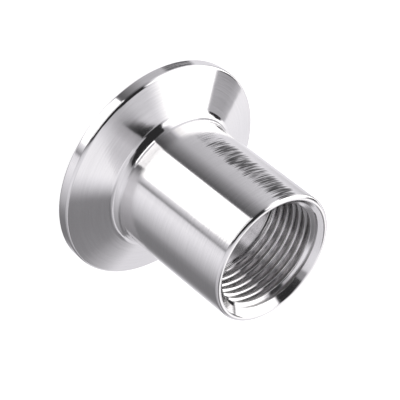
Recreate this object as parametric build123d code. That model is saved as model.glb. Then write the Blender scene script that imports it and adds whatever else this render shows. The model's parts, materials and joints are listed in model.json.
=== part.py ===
from build123d import *
import os
from math import radians, tan

# Sanitary clamp ferrule, turned from one piece of stainless bar.
# A tapered clamp flange at the bottom runs through a root fillet into a plain barrel, whose far end is
# bored for a 3/4 inch pipe thread. The sealing face below has the usual round-bottomed gasket groove.
# Millimetres, +Z up along the axis, origin at the centre of the sealing face.
# The thread itself is not cut here: its wall stands at the thread's minor diameter.

# Clamp flange, to the 50.5 mm clamp standard
rim_diameter = 50.5
rim_thickness = 2.85
taper_angle = 20.0
groove_mean_diameter = 43.6
groove_radius = 2.3
groove_depth = 1.4

# Barrel
barrel_diameter = 30.0
overall_length = 39.0
root_fillet = 2.5

# Hole, from the mouth down
countersink_diameter = 27.9
countersink_angle = 90.0
thread_minor_diameter = 24.117
tapping_depth = 19.0
shoulder_angle = 118.0
bore_diameter = 23.0

# Broken edges
rim_edge_break = 0.3
mouth_edge_break = 0.3
bore_edge_break = 0.25


def outline(*corners):
    """Closed outline through corners given as radius and height."""
    return make_face(Polyline(*corners, close=True))


def rounded(section, corner, radius):
    """The section with the corner nearest to a radius and height rounded."""
    return fillet(section.vertices().sort_by_distance(corner)[0], radius)


def broken(section, corner, width):
    """The section with the corner nearest to a radius and height broken by a small chamfer."""
    return chamfer(section.vertices().sort_by_distance(corner)[0], width)


def cone_height(outer_radius, inner_radius, tip_angle):
    """Height of a cone's slope between two radii, from the full angle at its tip."""
    return (outer_radius - inner_radius) / tan(radians(tip_angle / 2))


def flange_and_barrel():
    """Half section of the clamp flange, its taper, the root fillet and the barrel, still solid."""
    rim_radius = rim_diameter / 2
    barrel_radius = barrel_diameter / 2
    taper_top = rim_thickness + (rim_radius - barrel_radius) * tan(radians(taper_angle))
    foot = (rim_radius, 0)
    rim_corner = (rim_radius, rim_thickness)
    root = (barrel_radius, taper_top)
    mouth_corner = (barrel_radius, overall_length)
    section = outline((0, 0), foot, rim_corner, root, mouth_corner, (0, overall_length))
    section = rounded(section, root, root_fillet)
    section = broken(section, foot, rim_edge_break)
    section = broken(section, rim_corner, rim_edge_break)
    return broken(section, mouth_corner, mouth_edge_break)


def hole():
    """Half section of the through bore, the wider bore for the thread, and the countersunk mouth."""
    bore_radius = bore_diameter / 2
    minor_radius = thread_minor_diameter / 2
    mouth_radius = countersink_diameter / 2
    shoulder_top = overall_length - tapping_depth
    shoulder_foot = shoulder_top - cone_height(minor_radius, bore_radius, shoulder_angle)
    countersink_foot = overall_length - cone_height(mouth_radius, minor_radius, countersink_angle)
    return outline(
        (0, 0),
        (bore_radius + bore_edge_break, 0),
        (bore_radius, bore_edge_break),
        (bore_radius, shoulder_foot),
        (minor_radius, shoulder_top),
        (minor_radius, countersink_foot),
        (mouth_radius, overall_length),
        (0, overall_length),
    )


def with_gasket_groove(section):
    """The section with the round-bottomed groove for the gasket's bead in the sealing face."""
    mean_radius = groove_mean_diameter / 2
    return section - Pos(mean_radius, groove_depth - groove_radius) * Circle(groove_radius)


def ferrule():
    """The whole fitting: its half section, turned once round the axis."""
    section = with_gasket_groove(flange_and_barrel() - hole())
    return revolve(Plane.XZ * section, Axis.Z)


os.makedirs("parts", exist_ok=True)
export_step(ferrule(), "parts/ferrule.step")
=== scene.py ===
import json
import math

import bpy
import numpy as np
from mathutils import Matrix, Vector


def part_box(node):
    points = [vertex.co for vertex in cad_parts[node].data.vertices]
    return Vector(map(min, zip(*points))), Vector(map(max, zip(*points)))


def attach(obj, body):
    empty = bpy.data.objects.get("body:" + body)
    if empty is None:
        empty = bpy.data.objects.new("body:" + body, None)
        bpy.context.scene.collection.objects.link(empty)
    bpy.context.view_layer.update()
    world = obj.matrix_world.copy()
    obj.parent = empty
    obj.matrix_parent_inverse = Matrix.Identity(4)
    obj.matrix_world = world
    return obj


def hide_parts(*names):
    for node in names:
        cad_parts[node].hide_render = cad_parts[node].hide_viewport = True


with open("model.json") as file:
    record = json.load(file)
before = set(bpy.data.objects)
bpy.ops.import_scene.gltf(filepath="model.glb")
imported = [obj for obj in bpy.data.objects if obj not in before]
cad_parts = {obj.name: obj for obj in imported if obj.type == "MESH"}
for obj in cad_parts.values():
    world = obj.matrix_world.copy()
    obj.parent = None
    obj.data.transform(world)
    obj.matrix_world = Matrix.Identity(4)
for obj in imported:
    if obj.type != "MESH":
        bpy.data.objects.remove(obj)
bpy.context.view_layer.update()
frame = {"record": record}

# Sizes in millimetres and angles in degrees. Blender's own lengths are metres.
MM = 0.001
MOUNTS = {mount["name"]: mount for mount in frame["record"]["mounts"]}

# Sizes that the frame gives
RIM_RADIUS = MOUNTS["clamp_rim"]["dims"]["r_mm"]
BORE_RADIUS = MOUNTS["flow_bore"]["dims"]["r_mm"]
MINOR_RADIUS = MOUNTS["threaded_mouth"]["dims"]["r_mm"]
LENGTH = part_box("ferrule")[1].z / MM

# Flange and barrel
RIM_THICKNESS = 2.85
TAPER_ANGLE = 20.0
BARREL_RADIUS = 15.0
ROOT_FILLET = 2.5
FACE_EDGE_ROUND = 0.6
TAPER_EDGE_ROUND = 0.8
MOUTH_EDGE_ROUND = 0.75

# Gasket groove in the sealing face
GROOVE_MEAN_RADIUS = 21.8
GROOVE_RADIUS = 2.3
GROOVE_DEPTH = 1.4
LIP_ROUND = 0.15

# Hole
MOUTH_RADIUS = 13.95
MOUTH_ROUND = 0.6
STEP_ROUND = 0.12
TAPPING_DEPTH = 19.0
SHOULDER_ANGLE = 59.0
BORE_EDGE_ROUND = 0.25

# Pipe thread, 14 turns to the inch, with 60 degree flanks, flat crests and rounded roots
PITCH = 25.4 / 14
FLANK_ANGLE = 30.0
CREST_FLAT = 0.26
CREST_ROUND = 0.2
ROOT_ROUND = 0.15
THREAD_END = 23.7
RUN_OUT = 1.8
THREAD_PHASE = 0.57

# Heights between which the mesh follows the thread, from inside the countersink to the plain wall
THREAD_ZONE_TOP = 38.45
THREAD_ZONE_FOOT = 23.4

# Mesh fineness
SEGMENTS = 320
ARC_STEP = 9.0
ROOT_STATIONS = 5
FLANK_STATIONS = 4
CREST_STATIONS = 3
SLOPE_STEP = 0.004


def unit(vector):
    """The vector at length one."""
    return np.asarray(vector, float) / np.linalg.norm(vector)


# Section of the turned part. A row is (radius, height, outward normal, upward normal).


def arc_rows(centre, radius, start, end, sign):
    """Rows of an arc between two angles. Its normals point from the centre if sign is 1."""
    count = max(2, math.ceil(abs(end - start) / ARC_STEP)) + 1
    rows = []
    for angle in np.radians(np.linspace(start, end, count)):
        spoke = np.array([math.cos(angle), math.sin(angle)])
        rows.append((*(np.asarray(centre) + radius * spoke), *(sign * spoke)))
    return rows


def turn_rows(before, corner, after, radius):
    """Rows of the rounded corner between two straight stretches, with the metal on the left."""
    before, corner, after = (np.asarray(point, float) for point in (before, corner, after))
    arriving = unit(corner - before)
    leaving = unit(after - corner)
    cross = arriving[0] * leaving[1] - arriving[1] * leaving[0]
    turn = math.atan2(cross, float(arriving @ leaving))
    side = math.copysign(1, turn)
    start = corner - arriving * radius * math.tan(abs(turn) / 2)
    inward = np.array([-arriving[1], arriving[0]]) * side
    centre = start + radius * inward
    first = math.degrees(math.atan2(-inward[1], -inward[0]))
    return arc_rows(centre, radius, first, first + math.degrees(turn), side)


def groove_rows():
    """Rows of the gasket groove, from its inner lip to its outer one."""
    depth_of_centre = GROOVE_DEPTH - GROOVE_RADIUS
    reach = math.sqrt((GROOVE_RADIUS + LIP_ROUND) ** 2 - (LIP_ROUND - depth_of_centre) ** 2)
    lip_angle = math.degrees(math.atan2(LIP_ROUND - depth_of_centre, reach))
    inner_lip = (GROOVE_MEAN_RADIUS - reach, LIP_ROUND)
    outer_lip = (GROOVE_MEAN_RADIUS + reach, LIP_ROUND)
    groove_centre = (GROOVE_MEAN_RADIUS, depth_of_centre)
    return (
        arc_rows(inner_lip, LIP_ROUND, -90, -lip_angle, 1)
        + arc_rows(groove_centre, GROOVE_RADIUS, 180 - lip_angle, lip_angle, -1)[1:-1]
        + arc_rows(outer_lip, LIP_ROUND, 180 + lip_angle, 270, 1)
    )


def cone_radius(z):
    """Radius of the countersink at a height."""
    return MOUTH_RADIUS - (LENGTH - z)


def section_rows():
    """Rows of the section from below the thread, round the outside, to the countersink."""
    taper_rise = (RIM_RADIUS - BARREL_RADIUS) * math.tan(math.radians(TAPER_ANGLE))
    shoulder_top = LENGTH - TAPPING_DEPTH
    shoulder_drop = (MINOR_RADIUS - BORE_RADIUS) / math.tan(math.radians(SHOULDER_ANGLE))
    # Corners are (radius, height, round). The first and last are ends, and the other one without a round
    # stands for the groove.
    corners = [
        (MINOR_RADIUS, THREAD_ZONE_FOOT),
        (MINOR_RADIUS, shoulder_top, STEP_ROUND),
        (BORE_RADIUS, shoulder_top - shoulder_drop, STEP_ROUND),
        (BORE_RADIUS, 0, BORE_EDGE_ROUND),
        (GROOVE_MEAN_RADIUS, 0),
        (RIM_RADIUS, 0, FACE_EDGE_ROUND),
        (RIM_RADIUS, RIM_THICKNESS, TAPER_EDGE_ROUND),
        (BARREL_RADIUS, RIM_THICKNESS + taper_rise, ROOT_FILLET),
        (BARREL_RADIUS, LENGTH, MOUTH_EDGE_ROUND),
        (MOUTH_RADIUS, LENGTH, MOUTH_ROUND),
        (cone_radius(THREAD_ZONE_TOP), THREAD_ZONE_TOP),
    ]
    rows = []
    for before, corner, after in zip(corners, corners[1:], corners[2:]):
        if len(corner) == 3:
            rows += turn_rows(before[:2], corner[:2], after[:2], corner[2])
        else:
            rows += groove_rows()
    return rows


# Thread. Axial places are measured from the middle of a root.


def thread_form():
    """Axial places where the root's round, the flank and the crest's round end, and the full depth."""
    flank = math.radians(FLANK_ANGLE)
    crest_edge = (PITCH - CREST_FLAT) / 2
    tangent = CREST_ROUND * math.tan((math.pi / 2 - flank) / 2)
    root_end = ROOT_ROUND * math.cos(flank)
    crest_start = crest_edge - tangent * math.sin(flank)
    crest_end = crest_edge + tangent
    depth = ROOT_ROUND * (1 - math.sin(flank)) + (crest_edge - root_end) / math.tan(flank)
    return root_end, crest_start, crest_end, depth


ROOT_END, CREST_START, CREST_END, THREAD_DEPTH = thread_form()


def thread_stations():
    """Axial places of the mesh lines within one pitch."""
    root = list(np.linspace(-ROOT_END, ROOT_END, ROOT_STATIONS))
    flank = list(np.linspace(ROOT_END, CREST_START, FLANK_STATIONS + 1))[1:]
    crest = list(np.linspace(CREST_START, CREST_END, CREST_STATIONS))[1:]
    up = flank + crest
    down = [PITCH - x for x in reversed(up)]
    return root + up + down


def thread_depth(x):
    """Depth of the thread form below its crest at an axial place."""
    x = abs((x + PITCH / 2) % PITCH - PITCH / 2)
    if x < ROOT_END:
        return THREAD_DEPTH - ROOT_ROUND + math.sqrt(ROOT_ROUND**2 - x**2)
    if x > CREST_END:
        return 0.0
    if x > CREST_START:
        return CREST_ROUND - math.sqrt(CREST_ROUND**2 - (CREST_END - x) ** 2)
    flank = math.radians(FLANK_ANGLE)
    return ((PITCH - CREST_FLAT) / 2 - x) / math.tan(flank)


def wall_radius(angle, z):
    """Radius of the hole's wall in the thread zone: thread, run-out and countersink."""
    x = z - THREAD_PHASE - PITCH * angle / (2 * math.pi)
    drawn_back = THREAD_DEPTH * max(0.0, 1 - (z - THREAD_END) / RUN_OUT)
    return max(MINOR_RADIUS, MINOR_RADIUS + thread_depth(x) - drawn_back, cone_radius(z))


def wall_normal(angle, z):
    """Normal of the hole's wall, from the slope of its radius."""
    turn = SLOPE_STEP / MINOR_RADIUS
    rise = wall_radius(angle, z + SLOPE_STEP) - wall_radius(angle, z - SLOPE_STEP)
    swing = wall_radius(angle + turn, z) - wall_radius(angle - turn, z)
    return unit((-1, swing / (2 * SLOPE_STEP), rise / (2 * SLOPE_STEP)))


class Lathe:
    """Collects the points, normals and faces of a turned mesh, one column of points for each angle."""

    def __init__(self):
        self.points = []
        self.normals = []
        self.faces = []

    def add(self, angle, radius, z, normal):
        """Adds a point and gives its number. The normal is (outward, round the axis, up)."""
        cosine = math.cos(angle)
        sine = math.sin(angle)
        outward, round_axis, up = normal
        self.points.append((radius * cosine * MM, radius * sine * MM, z * MM))
        self.normals.append(
            (outward * cosine - round_axis * sine, outward * sine + round_axis * cosine, up)
        )
        return len(self.points) - 1

    def join(self, left, right):
        """Faces between two columns, each a list of point numbers of the same length."""
        for low, high in zip(range(len(left)), range(1, len(left))):
            corners = [left[low], right[low], right[high], left[high]]
            face = list(dict.fromkeys(corners))
            if len(face) > 2:
                self.faces.append(face)


def thread_column(mesh, angle, top, foot):
    """Point numbers down the thread zone at one angle. Lines past an end share that end's point."""
    stations = thread_stations()
    turns = math.ceil((THREAD_ZONE_TOP - THREAD_ZONE_FOOT) / PITCH) + 1
    first = THREAD_PHASE + PITCH * (math.floor((THREAD_ZONE_TOP - THREAD_PHASE) / PITCH) + 1)
    column = []
    for turn in range(turns + 1):
        for x in reversed(stations):
            z = first - turn * PITCH + x + PITCH * angle / (2 * math.pi)
            if z >= THREAD_ZONE_TOP:
                column.append(top)
            elif z <= THREAD_ZONE_FOOT:
                column.append(foot)
            else:
                column.append(mesh.add(angle, wall_radius(angle, z), z, wall_normal(angle, z)))
    return [top] + column + [foot]


def turned_mesh():
    """The whole ferrule as one closed mesh, with its helical thread."""
    mesh = Lathe()
    rows = section_rows()
    cone_normal = unit((-1, 0, 1))
    outer = []
    inner = []
    for step in range(SEGMENTS):
        angle = 2 * math.pi * step / SEGMENTS
        foot = mesh.add(angle, MINOR_RADIUS, THREAD_ZONE_FOOT, (-1, 0, 0))
        ring = [mesh.add(angle, r, z, (outward, 0, up)) for r, z, outward, up in rows]
        top = mesh.add(angle, cone_radius(THREAD_ZONE_TOP), THREAD_ZONE_TOP, cone_normal)
        outer.append([foot] + ring + [top])
        inner.append(thread_column(mesh, angle, top, foot))
    # After a whole turn the helix has climbed one pitch, so the last column joins the first one shifted.
    lines_per_turn = len(thread_stations())
    for step in range(SEGMENTS):
        following = (step + 1) % SEGMENTS
        mesh.join(outer[step], outer[following])
        right = inner[following]
        if following == 0:
            lead = [right[0]] * lines_per_turn
            right = (lead + right)[: len(right)]
        mesh.join(inner[step], right)
    return mesh


def make_ferrule():
    """The ferrule's visible piece, standing for the CAD node."""
    mesh = turned_mesh()
    data = bpy.data.meshes.new("turned_ferrule")
    data.from_pydata(mesh.points, [], mesh.faces)
    data.validate()
    data.shade_smooth()
    data.normals_split_custom_set_from_vertices(mesh.normals)
    piece = bpy.data.objects.new("turned_ferrule", data)
    bpy.context.scene.collection.objects.link(piece)
    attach(piece, "root")
    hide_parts("ferrule")
    return piece


# Shader helpers

# Places of a Mix node's colour sockets, which follow those for numbers and vectors
MIX_COLOUR_A = 6
MIX_COLOUR_B = 7
MIX_COLOUR_RESULT = 2
WHITE = (1.0, 1.0, 1.0, 1.0)


class Graph:
    """Short calls for adding nodes to a node tree."""

    def __init__(self, tree):
        self.tree = tree
        tree.nodes.clear()

    def node(self, kind, **settings):
        """A node of that kind, with its settings."""
        made = self.tree.nodes.new(kind)
        for name, value in settings.items():
            setattr(made, name, value)
        return made

    def feed(self, socket, value):
        """Links a socket, or sets its own value."""
        if isinstance(value, bpy.types.NodeSocket):
            self.tree.links.new(value, socket)
        else:
            socket.default_value = value

    def math(self, operation, *values):
        """A Math node's result."""
        made = self.node("ShaderNodeMath", operation=operation)
        for socket, value in zip(made.inputs, values):
            self.feed(socket, value)
        return made.outputs[0]

    def product(self, first, *others):
        """All the values multiplied."""
        for other in others:
            first = self.math("MULTIPLY", first, other)
        return first

    def split(self, vector):
        """The three parts of a vector."""
        made = self.node("ShaderNodeSeparateXYZ")
        self.feed(made.inputs[0], vector)
        return tuple(made.outputs)

    def smooth(self, value, low, high, start=0.0, end=1.0, linear=False):
        """The value mapped from low..high to start..end, with smooth ends unless linear."""
        kind = "LINEAR" if linear else "SMOOTHSTEP"
        made = self.node("ShaderNodeMapRange", interpolation_type=kind)
        self.feed(made.inputs["Value"], value)
        self.feed(made.inputs["From Min"], low)
        self.feed(made.inputs["From Max"], high)
        self.feed(made.inputs["To Min"], start)
        self.feed(made.inputs["To Max"], end)
        return made.outputs[0]

    def blend(self, share, first, second):
        """A mix of two numbers."""
        made = self.node("ShaderNodeMix", data_type="FLOAT")
        self.feed(made.inputs["Factor"], share)
        self.feed(made.inputs["A"], first)
        self.feed(made.inputs["B"], second)
        return made.outputs["Result"]

    def blend_colour(self, share, first, second):
        """A mix of two colours."""
        made = self.node("ShaderNodeMix", data_type="RGBA")
        self.feed(made.inputs["Factor"], share)
        self.feed(made.inputs[MIX_COLOUR_A], first)
        self.feed(made.inputs[MIX_COLOUR_B], second)
        return made.outputs[MIX_COLOUR_RESULT]


# Steel

# Colour, how far the shine is drawn out by the turning, and the direction of that as a share of a turn
STEEL = (0.76, 0.752, 0.755)
GRAIN = 0.85
GRAIN_TURN = 0.25

# Marks in the steel, and the streaks of painted dark reflection: width, radius of their path through the
# noise, and offset in the noise
FINE_MARKS = (0.16, 2.5, 0.0)
BROAD_MARKS = (0.55, 2.5, 3.0)
CLOUDS = (3.0, 1.2, 7.0)
PAINTED_REFLECTION_STREAKS = (0.26, 3.6, 11.0)
MARK_DETAIL = 2.0
NOISE_SPAN = (0.3, 0.7)
FINE_MARK_HEIGHT = 0.0014
BROAD_MARK_HEIGHT = 0.008

# Roughness of the polish from cloud to cloud, of the countersink and of the thread's roots
POLISH = (0.08, 0.115)
CUT_FINISH = 0.14
ROOT_FINISH = 0.4

# Tones that darken or lighten the steel: random tone along the fine marks, painted shade in the thread's
# roots, and painted dark reflection in the streaks on one side of the barrel
LINE_TONES = (0.965, 1.015)
ROOT_PAINTED_SHADE = 0.9
PAINTED_REFLECTION_TONE = 0.08

# Depth below the crests where the thread's roots begin, and room for telling one surface from the next
ROOT_START = 0.4
ROOT_MARGIN = 0.02
CONE_MARGIN = 0.05
BARREL_MARGIN = 0.1
MOUTH_MARGIN = 0.2

# Patch of painted dark reflection, in streaks, on one side of the barrel: its direction from the axis, the
# angles from there where it ends and is full, and the heights where it starts and is full. The rest is how
# ragged its streaks are.
PAINTED_REFLECTION_SIDE = 219
PAINTED_REFLECTION_SPREAD = (14, 1)
PAINTED_REFLECTION_START = (9, 21)
PAINTED_REFLECTION_CONTRAST = 3.0
PAINTED_REFLECTION_WEIGHT = 0.85
PAINTED_REFLECTION_THRESHOLD = (0.15, 1.1)
PAINTED_REFLECTION_FADE = 0.3


class Surface:
    """Where a shaded point lies: height, radius and direction from the axis.

    past_cone is the radius less the height, which is the same all over the countersink.
    """

    def __init__(self, graph):
        place = graph.node("ShaderNodeTexCoord").outputs["Object"]
        x, y, self.z = graph.split(place)
        squares = graph.math("ADD", graph.math("MULTIPLY", x, x), graph.math("MULTIPLY", y, y))
        self.radius = graph.math("SQRT", squares)
        self.cosine = graph.math("DIVIDE", x, self.radius)
        self.sine = graph.math("DIVIDE", y, self.radius)
        self.past_cone = graph.math("SUBTRACT", self.radius, self.z)


def marks(graph, surface, width, path_radius, offset):
    """Noise drawn out round the axis: fine along the section, long round the axis."""
    place = graph.node("ShaderNodeCombineXYZ")
    graph.feed(place.inputs["X"], graph.math("MULTIPLY", surface.cosine, path_radius))
    graph.feed(place.inputs["Y"], graph.math("MULTIPLY", surface.sine, path_radius))
    graph.feed(place.inputs["Z"], graph.math("DIVIDE", surface.z, width * MM))
    across = graph.math("DIVIDE", surface.radius, width * MM)
    noise = graph.node("ShaderNodeTexNoise", noise_dimensions="4D")
    graph.feed(noise.inputs["Vector"], place.outputs[0])
    graph.feed(noise.inputs["W"], graph.math("ADD", across, offset))
    noise.inputs["Scale"].default_value = 1.0
    noise.inputs["Detail"].default_value = MARK_DETAIL
    return noise.outputs["Fac"]


def mark_relief(graph, fine, broad):
    """Normal of the surface with its tool marks."""
    height = graph.math(
        "ADD",
        graph.math("MULTIPLY", fine, FINE_MARK_HEIGHT * MM),
        graph.math("MULTIPLY", broad, BROAD_MARK_HEIGHT * MM),
    )
    bump = graph.node("ShaderNodeBump")
    bump.inputs["Strength"].default_value = 1.0
    bump.inputs["Distance"].default_value = 1.0
    graph.feed(bump.inputs["Height"], height)
    return bump.outputs[0]


def root_share(graph, surface):
    """One in the thread's roots, none on its crests and outside the thread."""
    root_radius = MINOR_RADIUS + THREAD_DEPTH
    return graph.product(
        graph.math("GREATER_THAN", surface.z, THREAD_END * MM),
        graph.math("LESS_THAN", surface.radius, (root_radius + ROOT_MARGIN) * MM),
        graph.smooth(surface.radius, (MINOR_RADIUS + ROOT_START) * MM, root_radius * MM),
        graph.math("GREATER_THAN", surface.past_cone, (cone_radius(0) + CONE_MARGIN) * MM),
    )


def cone_share(graph, surface):
    """One on the countersink, none elsewhere."""
    return graph.product(
        graph.math("LESS_THAN", surface.past_cone, (cone_radius(0) + CONE_MARGIN) * MM),
        graph.math("LESS_THAN", surface.radius, (MOUTH_RADIUS + MOUTH_MARGIN) * MM),
        graph.math("GREATER_THAN", surface.z, THREAD_END * MM),
    )


def painted_reflection_share(graph, surface):
    """One on the streaks of the painted dark reflection, none outside it."""
    side = math.radians(PAINTED_REFLECTION_SIDE)
    towards = graph.math(
        "ADD",
        graph.math("MULTIPLY", surface.cosine, math.cos(side)),
        graph.math("MULTIPLY", surface.sine, math.sin(side)),
    )
    patch = graph.product(
        graph.smooth(towards, *(math.cos(math.radians(edge)) for edge in PAINTED_REFLECTION_SPREAD)),
        graph.smooth(surface.z, *(edge * MM for edge in PAINTED_REFLECTION_START)),
        graph.math("GREATER_THAN", surface.radius, (BARREL_RADIUS - BARREL_MARGIN) * MM),
    )
    noise = marks(graph, surface, *PAINTED_REFLECTION_STREAKS)
    ragged = graph.math("MULTIPLY_ADD", noise, PAINTED_REFLECTION_CONTRAST, -PAINTED_REFLECTION_CONTRAST / 2)
    streaks = graph.smooth(graph.math("MULTIPLY_ADD", patch, PAINTED_REFLECTION_WEIGHT, ragged), *PAINTED_REFLECTION_THRESHOLD)
    return graph.math("MULTIPLY", streaks, graph.smooth(patch, 0.0, PAINTED_REFLECTION_FADE))


def steel_colour(graph, surface, fine, roots):
    """Colour of the steel, by its tool marks, with painted shade in the thread's roots and painted dark
    reflection streaks on the barrel.
    """
    tone = graph.product(
        # Painted shade darkens the thread's roots
        graph.blend(roots, 1.0, ROOT_PAINTED_SHADE),
        graph.smooth(fine, *NOISE_SPAN, *LINE_TONES),
        # Painted dark reflection, in streaks, on one side of the barrel
        graph.blend(painted_reflection_share(graph, surface), 1.0, PAINTED_REFLECTION_TONE),
    )
    shade = graph.node("ShaderNodeVectorMath", operation="SCALE")
    shade.inputs[0].default_value = STEEL
    graph.feed(shade.inputs["Scale"], tone)
    return shade.outputs[0]


def steel_finish(graph, surface, roots):
    """Roughness of the steel, by its clouds, roots and countersink."""
    finish = graph.smooth(marks(graph, surface, *CLOUDS), *NOISE_SPAN, *POLISH)
    finish = graph.blend(roots, finish, ROOT_FINISH)
    return graph.blend(cone_share(graph, surface), finish, CUT_FINISH)


def steel_material():
    """Bright turned stainless steel, with fine tool marks that run round the axis."""
    material = bpy.data.materials.new("turned_stainless")
    material.use_nodes = True
    graph = Graph(material.node_tree)
    surface = Surface(graph)
    fine = marks(graph, surface, *FINE_MARKS)
    broad = marks(graph, surface, *BROAD_MARKS)
    roots = root_share(graph, surface)
    tangent = graph.node("ShaderNodeTangent", direction_type="RADIAL", axis="Z")
    shader = graph.node("ShaderNodeBsdfPrincipled")
    shader.inputs["Metallic"].default_value = 1.0
    shader.inputs["Anisotropic"].default_value = GRAIN
    shader.inputs["Anisotropic Rotation"].default_value = GRAIN_TURN
    graph.feed(shader.inputs["Base Color"], steel_colour(graph, surface, fine, roots))
    graph.feed(shader.inputs["Roughness"], steel_finish(graph, surface, roots))
    graph.feed(shader.inputs["Normal"], mark_relief(graph, fine, broad))
    graph.feed(shader.inputs["Tangent"], tangent.outputs[0])
    output = graph.node("ShaderNodeOutputMaterial")
    graph.feed(output.inputs["Surface"], shader.outputs[0])
    return material


# Studio

CAMERA_PLACE = (-0.239, -388.65, 290.81)
CAMERA_RIGHT = (-0.61933, 0.45384, 0.64067)
CAMERA_UP = (-0.78513, -0.35800, -0.50538)
CAMERA_LENS = 205.26
FLOOR_RADIUS = 3.0
FLOOR_CORNERS = 96
FLOOR_MATT = (0.5, 0.5, 0.5, 1.0)
FLOOR_GLOW = 0.8

# The studio as the metal sees it. Azimuth 0 is the camera's side and 90 the +X side, and elevation is
# above the horizon. Each wall is a ring of (azimuth, brightness), from the back round by the left, the
# front and the right.
LOW_WALL = [
    (-180, 1.05), (-160, 0.97), (-142, 0.9), (-112, 0.93), (-95, 0.84), (-80, 0.6), (-60, 0.56),
    (-46, 0.31), (-34, 0.15), (-30, 0.15), (-10, 1.9), (24, 1.9), (27, 1.12), (31, 0.78), (36, 0.3),
    (37, 0.33), (40, 0.98), (50, 1.1), (60, 0.99), (70, 0.83), (80, 0.67), (90, 0.52), (100, 0.33),
    (110, 0.25), (130, 0.23), (140, 0.26), (150, 0.4), (160, 0.74), (170, 0.97), (180, 1.05),
]
MIDDLE_WALL = [
    (-180, 0.75), (-170, 0.52), (-152, 0.6), (-143, 0.36), (-130, 0.75), (-120, 1.0), (-110, 1.15),
    (-95, 1.12), (-68, 0.93), (-55, 0.47), (-44, 0.2), (-33, 0.1), (24, 0.25), (33, 0.5), (44, 0.85),
    (55, 0.9), (66, 0.8), (88, 0.4), (99, 0.3), (110, 0.24), (132, 0.22), (143, 0.28), (152, 0.6),
    (165, 0.85), (180, 0.75),
]
HIGH_WALL = [
    (-180, 1.03), (-166, 1.02), (-157, 1.12), (-150, 1.3), (-146, 1.9), (-78, 1.9), (-64, 1.4),
    (-55, 0.5), (-46, 0.3), (-33, 0.12), (18, 0.2), (28, 0.65), (33, 0.8), (44, 0.92), (60, 0.95),
    (70, 0.8), (88, 0.6), (99, 0.5), (110, 0.45), (130, 0.35), (138, 0.26), (149, 0.3), (156, 0.58),
    (162, 0.92), (168, 1.03), (180, 1.03),
]
CEILING = [
    (-180, 0.8), (-163, 0.6), (-148, 0.55), (-139, 0.98), (-128, 0.5), (-100, 0.5), (-60, 0.55),
    (-20, 0.7), (10, 0.85), (60, 0.85), (100, 1.0), (138, 1.15), (156, 1.1), (174, 0.85), (180, 0.8),
]

# The walls from the lowest up, each with the elevations over which it takes over from the one below
RINGS = [
    (LOW_WALL, None),
    (MIDDLE_WALL, (-36, -30)),
    (HIGH_WALL, (-12, -5)),
    (CEILING, (55, 68)),
]

# Level strips before the walls: azimuth from and to, softness, elevation from and to, softness, brightness
STRIPS = [
    (-121, -86, 4.0, -46, -37.1, 0.4, 0.0),
    (-136, -108, 6.0, -18, -10, 2.5, 0.45),
    (-108, -66, 8.0, -21, -13, 3.0, 0.88),
]

# Cards before the walls and strips: corners as (azimuth, elevation), softness of the edges, brightness
BLACK = 0.03
PALE = 0.93
CARDS = [
    # High at the back, seen in the end face
    ([(163, 26), (-163, 26), (-163, 60), (163, 60)], 4.0, 1.36),
    # At the back on the right, level with the part
    ([(141, -10), (141, 0), (147, 12), (172, 14), (172, -14)], 4.0, 0.9),
    # High on the right, seen in the thread
    ([(114, 42), (128, 33), (137, 30), (134, 44), (129, 58), (114, 58)], 3.0, 0.22),
    # Low white panel in front, seen along the barrel
    ([(-28, -75), (27, -75), (26, -36), (17, -15), (14, 0), (-28, 1)], 0.9, 1.95),
    # Black cards above the panel, seen in the root fillet
    (
        [(-56, 8), (-28, 4), (14, 3), (29, 8), (16, 35), (2, 63), (-58, 66), (-58, 45), (-55, 36)],
        1.5,
        BLACK,
    ),
    ([(-56, 38), (0, 54), (2, 66), (-50, 72)], 1.5, BLACK),
    ([(-54, 38), (-44, 70), (-112, 82), (-117, 68)], 1.5, BLACK),
    # Grey, at the back on the left
    ([(-152, 17), (-140, 31), (-158, 41), (-167, 26)], 1.0, 0.54),
    # Narrow pale cards along the curve on the right that the countersink mirrors
    ([(22, 60), (24, 52.5), (70, 44.5), (72, 51)], 1.5, PALE),
    ([(66, 51.5), (64, 45.5), (93, 33), (97, 40)], 1.5, PALE),
    ([(92, 41), (90, 34), (115, 21), (119, 28)], 1.5, PALE),
    ([(115, 29), (112, 22.5), (132, 8.5), (137, 15)], 1.5, PALE),
    ([(133, 16), (130, 9.5), (146, -4), (151, 3)], 1.5, PALE),
    # Small and black, at the back on the left
    ([(-139, 5), (-134, 24), (-145, 33), (-153, 22), (-147, 6)], 1.5, BLACK),
]

# Grey strip across the upper part of the white panel, laid over everything else
PANEL_FOLD = (-27, 21, 1.0, -32.8, -11, 1.2, 0.56)

# Tints of the studio's light, and the brightness over which the white one takes over
GREY_TINT = (1.0, 0.985, 1.03, 1.0)
WHITE_TINT = (1.0, 0.99, 0.99, 1.0)
WHITE_TINT_FROM = (0.9, 1.5)


def direction(azimuth, elevation):
    """Unit vector towards a place on the studio's walls."""
    azimuth = math.radians(azimuth)
    elevation = math.radians(elevation)
    flat = math.cos(elevation)
    return np.array([flat * math.sin(azimuth), -flat * math.cos(azimuth), math.sin(elevation)])


def wall_level(graph, azimuth, stops):
    """Brightness of a wall by azimuth."""
    ramp = graph.node("ShaderNodeValToRGB")
    ramp.color_ramp.interpolation = "LINEAR"
    elements = ramp.color_ramp.elements
    while len(elements) < len(stops):
        elements.new(0.5)
    for element, (place, _) in zip(elements, stops):
        element.position = (place + 180) / 360
    # The ramp holds half of the brightness, which keeps its colours below one.
    for element, (_, level) in zip(elements, stops):
        element.color = (level / 2, level / 2, level / 2, 1)
    graph.feed(ramp.inputs[0], graph.smooth(azimuth, -180, 180, linear=True))
    return graph.math("MULTIPLY", ramp.outputs[0], 2.0)


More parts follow.
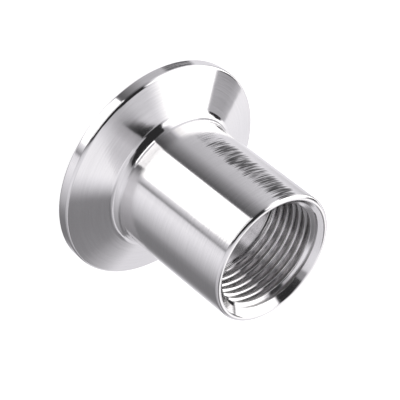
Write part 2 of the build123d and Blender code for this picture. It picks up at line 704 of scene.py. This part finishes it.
def card_share(graph, way, corners, soft):
    """One inside a card, none outside it. Its edges run straight between its corners."""
    places = [direction(*corner) for corner in corners]
    middle = sum(places)
    reach = math.sin(math.radians(soft))
    share = 1.0
    for start, end in zip(places, places[1:] + places[:1]):
        across = unit(np.cross(start, end))
        across = across if across @ middle > 0 else -across
        dot = graph.node("ShaderNodeVectorMath", operation="DOT_PRODUCT")
        graph.feed(dot.inputs[0], way)
        graph.feed(dot.inputs[1], tuple(across))
        share = graph.math("MULTIPLY", share, graph.smooth(dot.outputs["Value"], -reach, reach))
    return share


def strip_share(graph, azimuth, elevation, strip):
    """One inside a level strip, none outside it."""
    left, right, side_soft, low, high, level_soft = strip
    share = graph.smooth(azimuth, left - side_soft, left + side_soft)
    for value, edge, soft, start, end in (
        (azimuth, right, side_soft, 1.0, 0.0),
        (elevation, low, level_soft, 0.0, 1.0),
        (elevation, high, level_soft, 1.0, 0.0),
    ):
        share = graph.math("MULTIPLY", share, graph.smooth(value, edge - soft, edge + soft, start, end))
    return share


def studio_level(graph):
    """Brightness of the studio in each direction."""
    way = graph.node("ShaderNodeTexCoord").outputs["Generated"]
    x, y, z = graph.split(way)
    elevation = graph.math("DEGREES", graph.math("ARCSINE", z))
    azimuth = graph.math("DEGREES", graph.math("ARCTAN2", x, graph.math("MULTIPLY", y, -1.0)))
    level = 0.0
    for stops, edge in RINGS:
        ring = wall_level(graph, azimuth, stops)
        level = graph.blend(graph.smooth(elevation, *edge), level, ring) if edge else ring
    for *strip, brightness in STRIPS:
        level = graph.blend(strip_share(graph, azimuth, elevation, strip), level, brightness)
    for corners, soft, brightness in CARDS:
        level = graph.blend(card_share(graph, way, corners, soft), level, brightness)
    *fold, brightness = PANEL_FOLD
    return graph.blend(strip_share(graph, azimuth, elevation, fold), level, brightness)


def make_world():
    """White for the camera. The metal and the floor are lit by the studio."""
    world = bpy.data.worlds.new("studio")
    world.use_nodes = True
    bpy.context.scene.world = world
    graph = Graph(world.node_tree)
    camera_ray = graph.node("ShaderNodeLightPath").outputs["Is Camera Ray"]
    studio = studio_level(graph)
    tint = graph.blend_colour(graph.smooth(studio, *WHITE_TINT_FROM), GREY_TINT, WHITE_TINT)
    background = graph.node("ShaderNodeBackground")
    graph.feed(background.inputs["Color"], graph.blend_colour(camera_ray, tint, WHITE))
    graph.feed(background.inputs["Strength"], graph.blend(camera_ray, studio, 1.0))
    output = graph.node("ShaderNodeOutputWorld")
    graph.feed(output.inputs["Surface"], background.outputs[0])


def floor_material():
    """Matt white that also glows for the camera, which keeps it as white as the background."""
    material = bpy.data.materials.new("floor_white")
    material.use_nodes = True
    graph = Graph(material.node_tree)
    camera_ray = graph.node("ShaderNodeLightPath").outputs["Is Camera Ray"]
    matt = graph.node("ShaderNodeBsdfDiffuse")
    matt.inputs["Color"].default_value = FLOOR_MATT
    glow = graph.node("ShaderNodeEmission")
    glow.inputs["Color"].default_value = WHITE
    graph.feed(glow.inputs["Strength"], graph.math("MULTIPLY", camera_ray, FLOOR_GLOW))
    both = graph.node("ShaderNodeAddShader")
    graph.feed(both.inputs[0], matt.outputs[0])
    graph.feed(both.inputs[1], glow.outputs[0])
    output = graph.node("ShaderNodeOutputMaterial")
    graph.feed(output.inputs["Surface"], both.outputs[0])
    return material


def make_floor():
    """Plain white floor. The metal sees the studio in its place."""
    bpy.ops.mesh.primitive_circle_add(vertices=FLOOR_CORNERS, radius=FLOOR_RADIUS, fill_type="NGON")
    floor = bpy.context.object
    floor.name = "floor"
    floor.data.materials.append(floor_material())
    floor.visible_glossy = False
    floor.visible_shadow = False


def make_camera():
    """Camera at the photograph's place, rolled so that the mouth points down to the right."""
    data = bpy.data.cameras.new("camera")
    data.lens = CAMERA_LENS
    camera = bpy.data.objects.new("camera", data)
    right = Vector(CAMERA_RIGHT).normalized()
    up = Vector(CAMERA_UP)
    up = (up - right * up.dot(right)).normalized()
    back = right.cross(up)
    turn = Matrix((right, up, back)).transposed().to_4x4()
    camera.matrix_world = Matrix.Translation(Vector(CAMERA_PLACE) * MM) @ turn
    bpy.context.scene.collection.objects.link(camera)
    bpy.context.scene.camera = camera


ferrule = make_ferrule()
ferrule.data.materials.append(steel_material())
make_world()
make_floor()
make_camera()
bpy.context.scene.view_settings.view_transform = "Standard"
